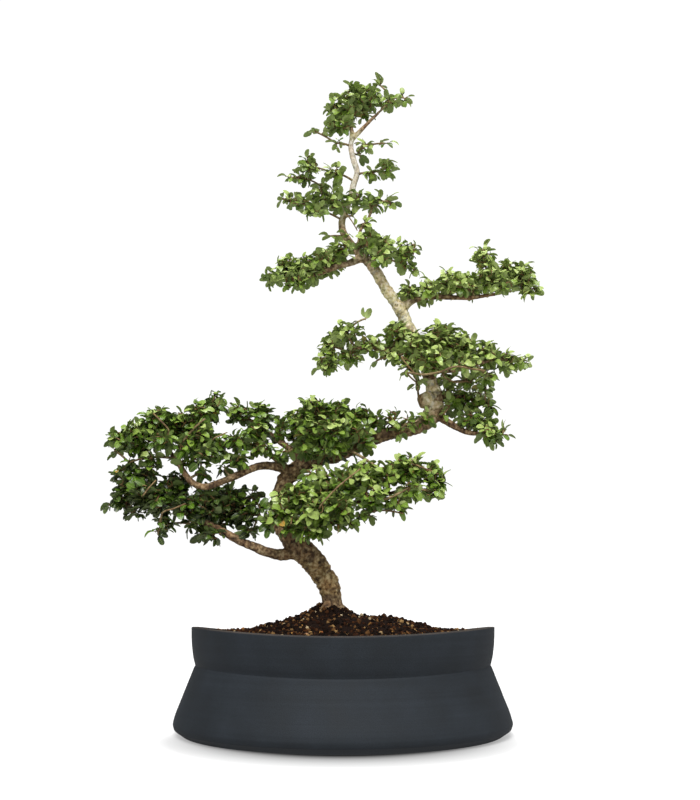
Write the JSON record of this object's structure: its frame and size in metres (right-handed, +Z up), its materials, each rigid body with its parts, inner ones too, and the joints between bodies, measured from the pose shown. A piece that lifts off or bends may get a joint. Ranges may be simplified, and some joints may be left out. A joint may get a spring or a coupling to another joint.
{
  "type": "zelkova bonsai in a round pot",
  "caption": "Small-leaved bonsai with an S-shaped trunk and tiered leafy pads, rooted in soil in a round dark stoneware pot with a collar and a flared skirt.",
  "frame": {"origin": "the middle of the pot's flat underside", "axes": "+Z up along the pot's axis, -Y towards the front, from which the trunk's bends show, +X to the right"},
  "size_m": [0.4662, 0.337, 0.7135],
  "materials": {
    "pot": "matte",
    "screen": "matte",
    "soil": "matte",
    "bark": "matte",
    "leaf": "satin"
  },
  "bodies": {
    "root": {"pot": "pot", "drain_screen_left": "screen", "drain_screen_right": "screen", "soil": "soil", "tree": "bark", "spray_back_low": "leaf", "spray_centre_back": "leaf", "spray_centre_left": "leaf", "spray_centre_middle": "leaf", "spray_centre_right": "leaf", "spray_centre_top": "leaf", "spray_crown_foot_left": "leaf", "spray_crown_foot_right": "leaf", "spray_crown_left": "leaf", "spray_crown_low_left": "leaf", "spray_crown_middle": "leaf", "spray_crown_right": "leaf", "spray_elbow_sprig": "leaf", "spray_fifth_left": "leaf", "spray_fifth_right": "leaf", "spray_fourth_left_inner": "leaf", "spray_fourth_left_outer": "leaf", "spray_fourth_right": "leaf", "spray_front_centre": "leaf", "spray_front_left": "leaf", "spray_front_middle": "leaf", "spray_front_right": "leaf", "spray_front_tip": "leaf", "spray_left_inner_back": "leaf", "spray_left_inner_low": "leaf", "spray_left_inner_top": "leaf", "spray_left_middle": "leaf", "spray_left_tip": "leaf", "spray_left_top_inner": "leaf", "spray_left_top_middle": "leaf", "spray_left_top_outer": "leaf", "spray_low_left_back": "leaf", "spray_low_left_inner": "leaf", "spray_low_left_middle": "leaf", "spray_low_left_outer": "leaf", "spray_low_left_right": "leaf", "spray_low_left_tip": "leaf", "spray_low_left_under": "leaf", "spray_lower_right_high": "leaf", "spray_lower_right_low": "leaf", "spray_middle_back": "leaf", "spray_middle_front": "leaf", "spray_middle_left_inner": "leaf", "spray_middle_left_tip": "leaf", "spray_middle_right_inner": "leaf", "spray_middle_right_outer": "leaf", "spray_second_right_inner": "leaf", "spray_second_right_middle": "leaf", "spray_second_right_outer": "leaf", "spray_second_right_tip": "leaf", "spray_third_left_inner": "leaf", "spray_third_left_outer": "leaf", "spray_third_right": "leaf", "spray_trunk_sprig_left": "leaf", "spray_trunk_sprig_right": "leaf"}
  },
  "joints": []
}
